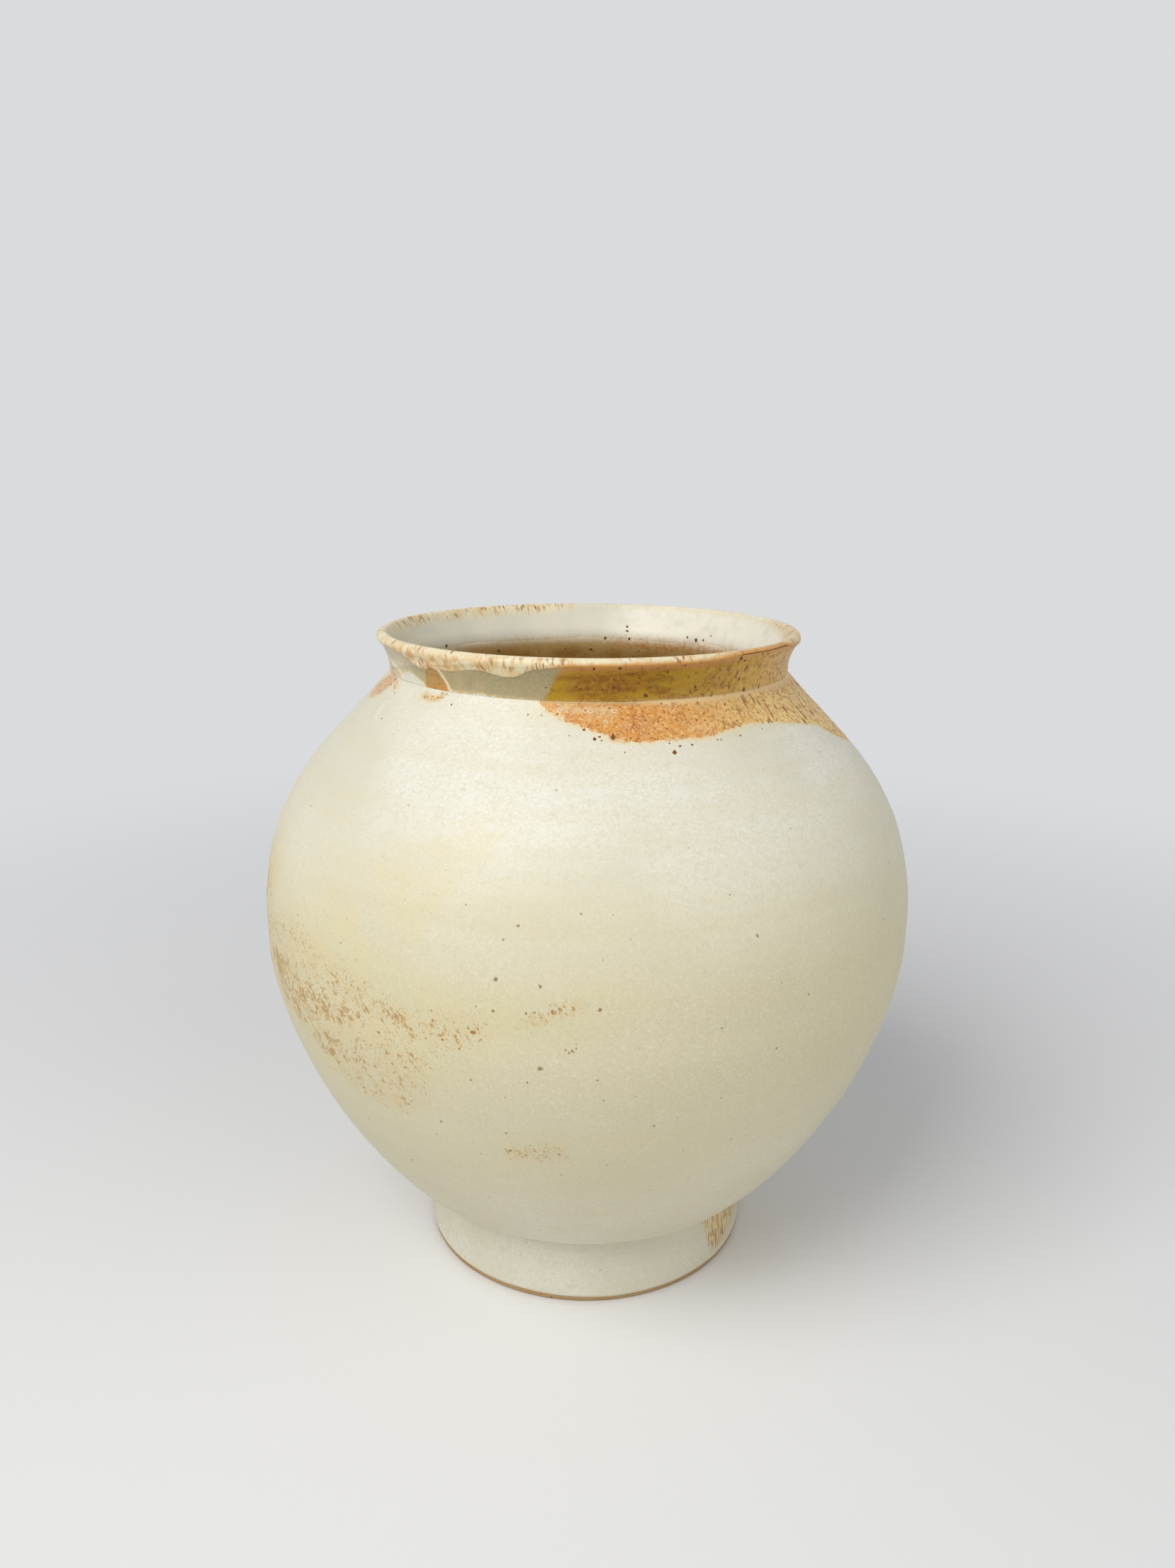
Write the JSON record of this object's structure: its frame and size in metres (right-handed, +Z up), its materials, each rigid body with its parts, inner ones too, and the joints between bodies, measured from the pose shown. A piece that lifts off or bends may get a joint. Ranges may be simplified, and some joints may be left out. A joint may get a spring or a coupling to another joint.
{
  "type": "moon jar",
  "caption": "Round full-bodied glazed ceramic jar of two bowls joined at the waist, on a tall foot ring, with a short flared neck and a rolled lip.",
  "frame": {"origin": "middle of the foot's underside, on the surface the jar stands on", "axes": "+Z up along the axis of the jar; the pictured front looks along -Y, +X to the right of it"},
  "size_m": [0.2508, 0.2508, 0.25],
  "materials": {
    "stoneware": "bare fired clay, matt",
    "slip": "fired joining slip, matt",
    "cream_glaze": "satin, fine crystalline mottle",
    "amber_glaze": "satin, crystalline, amber",
    "olive_glaze": "satin, sage to olive-brown",
    "lip_glaze": "satin cream with brown flecks",
    "liner_glaze": "satin olive-brown"
  },
  "bodies": {
    "root": {"foot_ring": "stoneware", "foot_slip": "slip", "lower_bowl": "stoneware", "waist_slip": "slip", "upper_bowl": "stoneware", "neck_slip": "slip", "neck_collar": "stoneware", "outer_glaze": "cream_glaze", "shoulder_flash": "amber_glaze", "neck_glaze": "olive_glaze", "lip_glaze": "lip_glaze", "liner_glaze": "liner_glaze", "well_glaze": "cream_glaze"}
  },
  "joints": []
}
